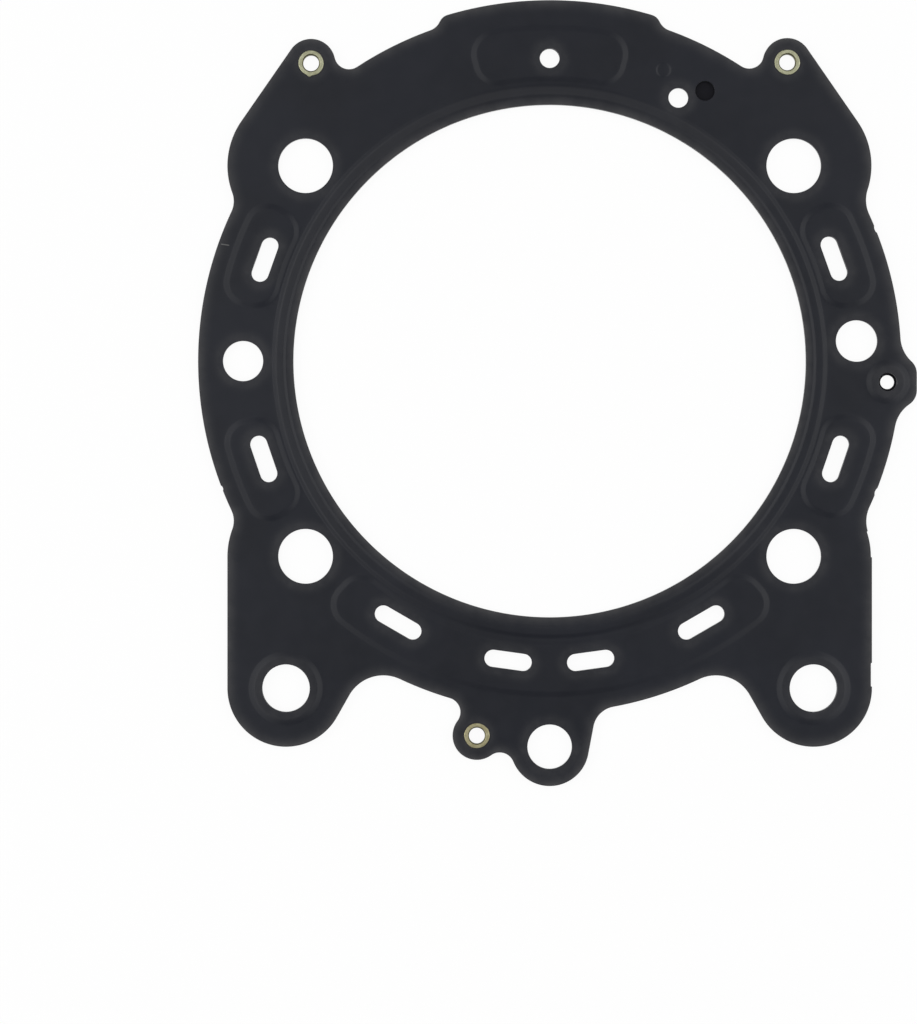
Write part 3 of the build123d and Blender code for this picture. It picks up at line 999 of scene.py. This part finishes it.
# Darker and duller coat for the sheets' backs; it is what shows down the blind hole and
# round the oil hole.
hidden_coat = coat_material(
    "coat_back_darker", flat=(0.006, 0.006, 0.0085), glow_and_wear_colour=(0.007, 0.007, 0.0095),
    dull=0.7, shine=0.1,
)
sheared = steel_material(
    "sheared_steel", light=(0.12, 0.12, 0.12), dark=(0.065, 0.065, 0.067),
    dull=0.5, grain_size=0.12,
)
carrier_steel = steel_material(
    "carrier_steel", light=(0.16, 0.16, 0.165), dark=(0.07, 0.07, 0.075),
    dull=0.45, grain_size=0.15,
)
stopper_steel = steel_material(
    "stopper_steel", light=(0.42, 0.42, 0.43), dark=(0.3, 0.3, 0.3),
    dull=0.35, grain_size=0.2,
)
brass = brass_material(
    "eyelet_brass", light=(0.45, 0.45, 0.31), dark=(0.35, 0.35, 0.23)
)
yellow_brass = brass_material(
    "eyelet_brass_yellow", light=(0.43, 0.4, 0.25), dark=(0.33, 0.3, 0.17)
)

# --- The pieces --------------------------------------------------------------
punched_sheet(
    "upper_sheet", "upper_layer", [coat, sheared, hidden_coat],
    face_height=lambda p: TOP_FACE + rise(p, LIP_LIFT, True),
    back_height=lambda p: UPPER_FACE + rise(p, LIP_LIFT, True),
    up=True, oil=OIL_MOUTH, blind=True,
    lines=bead_lines(LINE_PITCH, True, True),
    back_lines=bead_lines(BACK_LINE_PITCH, False, False),
)
punched_sheet(
    "lower_sheet", "lower_layer", [coat, sheared, hidden_coat],
    face_height=lambda p: LOWER_FACE - rise(p, 0.0, False),
    back_height=lambda p: CARRIER_FACE - rise(p, 0.0, False),
    up=False, oil=OIL_HOLE, blind=False,
    lines=bead_lines(LINE_PITCH, True, False),
    back_lines=bead_lines(BACK_LINE_PITCH, False, False),
)
punched_sheet(
    "carrier_sheet", "carrier_layer", [carrier_steel] * 3,
    face_height=lambda p: np.full(len(p), UPPER_FACE),
    back_height=lambda p: np.full(len(p), CARRIER_FACE),
    up=True, oil=OIL_MOUTH, blind=True, loose=False,
)
nodes["stopper_ring"].data.materials.clear()
nodes["stopper_ring"].data.materials.append(stopper_steel)

# (angle, reach) of each place where an eyelet's lip stands out
TONGUES = {
    "eyelet_left": [(263, 0.3)],
    "eyelet_right": [(205, 0.08)],
    "eyelet_lower": [(30, 0.06)],
}
FIRST_SEED = 11
for seed, (node, place) in enumerate(EYELETS.items(), FIRST_SEED):
    skin = yellow_brass if node == "eyelet_lower" else brass
    rolled_eyelet(node, place, [skin], seed, TONGUES[node])

# --- Floor -------------------------------------------------------------------
FLOOR_HALF = 4.0                # metres
FLOOR_DROP = 0.02 * MM          # keeps the lowest faces out of the floor's plane
SHOWN_WHITE = 0.92              # share of plain white where the floor is seen
PAPER = (0.9, 0.9, 0.9, 1)
floor_mesh = bpy.data.meshes.new("floor")
floor_corners = [
    (x * FLOOR_HALF, y * FLOOR_HALF, -FLOOR_DROP)
    for x, y in [(-1, -1), (1, -1), (1, 1), (-1, 1)]
]
floor_mesh.from_pydata(floor_corners, [], [(0, 1, 2, 3)])
floor = bpy.data.objects.new("floor", floor_mesh)
bpy.context.scene.collection.objects.link(floor)
floor_material = bpy.data.materials.new("floor")
add = graph(floor_material)
rays = add("LightPath")
direct, glossy = rays.outputs["Is Camera Ray"], rays.outputs["Is Glossy Ray"]
seen = math_node(add, "MAXIMUM", direct, glossy)
share = product(add, seen, SHOWN_WHITE)
paper = add("BsdfDiffuse", {"Color": PAPER})
white = add("Emission", {"Color": (1, 1, 1, 1), "Strength": 1.0})
blend = add("MixShader", {0: share, 1: paper.outputs[0], 2: white.outputs[0]})
add("OutputMaterial", {"Surface": blend.outputs[0]})
floor_mesh.materials.append(floor_material)

# --- Light -------------------------------------------------------------------
# What the gasket sees, by the direction's X, Y and Z: overhead light, more of it
# away from the lower end, much more towards the two sides, and some taken off
# again in a band past the top end.
OVERHEAD, NORTH, SIDES, BAND = 0.23, 0.25, 1.65, 0.22
MIDDLE_X = 0.04                 # the two sides mirror each other about this
SIDES_START, SIDES_STOP, SIDES_REST = (0.1, 0.32), (0.42, 0.66), 0.15
SIDES_ENDS, SIDES_ENDS_REST = (0.25, 0.6), 0.25
NORTH_START = (-0.06, 0.06)
BAND_START, BAND_STOP, BAND_ENDS = (0.24, 0.34), (0.4, 0.5), (0.14, 0.34)
HORIZON, HORIZON_REST = (0.1, 0.55), 0.35
world = bpy.data.worlds.new("world")
bpy.context.scene.world = world
add = graph(world)
way = add("SeparateXYZ", {"Vector": add("TexCoord").outputs["Generated"]})
from_middle = math_node(add, "SUBTRACT", way.outputs["X"], MIDDLE_X)
aside = math_node(add, "ABSOLUTE", from_middle, 0.0)
along = math_node(add, "ABSOLUTE", way.outputs["Y"], 0.0)
sides = product(
    add,
    ranged(add, aside, *SIDES_START, 0, SIDES),
    ranged(add, aside, *SIDES_STOP, 1, SIDES_REST),
    ranged(add, along, *SIDES_ENDS, 1, SIDES_ENDS_REST),
)
band = product(
    add,
    ranged(add, way.outputs["Y"], *BAND_START, 0, -BAND),
    ranged(add, way.outputs["Y"], *BAND_STOP, 1, 0),
    ranged(add, aside, *BAND_ENDS, 1, 0),
)
north = ranged(add, way.outputs["Y"], *NORTH_START, 0, NORTH)
plain = math_node(add, "ADD", north, OVERHEAD)
level = math_node(add, "ADD", math_node(add, "ADD", sides, band), plain)
level = product(add, level, ranged(add, way.outputs["Z"], *HORIZON, HORIZON_REST, 1))
background = add("Background", {"Color": (1, 1, 1, 1), "Strength": level})
add("OutputWorld", {"Surface": background.outputs[0]})

LAMP_ELEVATION = 28             # degrees
LAMP_DISTANCE, LAMP_SIZE = 1.2, 0.6    # metres
LEFT_POWER, RIGHT_POWER = 5.0, 3.4     # watts


def lamp(name, azimuth, power):
    """Square soft box that looks at the origin."""
    data = bpy.data.lights.new(name, "AREA")
    data.shape = "SQUARE"
    data.size = LAMP_SIZE
    data.energy = power
    made = bpy.data.objects.new(name, data)
    turn, lift = math.radians(azimuth), math.radians(LAMP_ELEVATION)
    level = math.cos(lift)
    way = Vector((math.cos(turn) * level, math.sin(turn) * level, math.sin(lift)))
    made.location = way * LAMP_DISTANCE
    made.rotation_euler = (-way).to_track_quat("-Z", "Y").to_euler()
    bpy.context.scene.collection.objects.link(made)


lamp("left_box", 180, LEFT_POWER)
lamp("right_box", 0, RIGHT_POWER)

# --- Camera ------------------------------------------------------------------
VIEW_CENTRE = (-18.67, -30.92)  # straight above this place, in mm
VIEW_HEIGHT = 209.66            # of the whole picture, at the gasket's middle
LENS, SENSOR = 100.0, 36.0
CLIP_START, CLIP_END = 0.01, 20    # metres
camera_data = bpy.data.cameras.new("camera")
camera_data.lens = LENS
camera_data.sensor_width = SENSOR
camera_data.clip_start = CLIP_START
camera_data.clip_end = CLIP_END
camera = bpy.data.objects.new("camera", camera_data)
distance = VIEW_HEIGHT * LENS / SENSOR + TOP_FACE
camera.location = (VIEW_CENTRE[0] * MM, VIEW_CENTRE[1] * MM, distance * MM)
bpy.context.scene.collection.objects.link(camera)
bpy.context.scene.camera = camera

bpy.context.scene.view_settings.view_transform = "Standard"
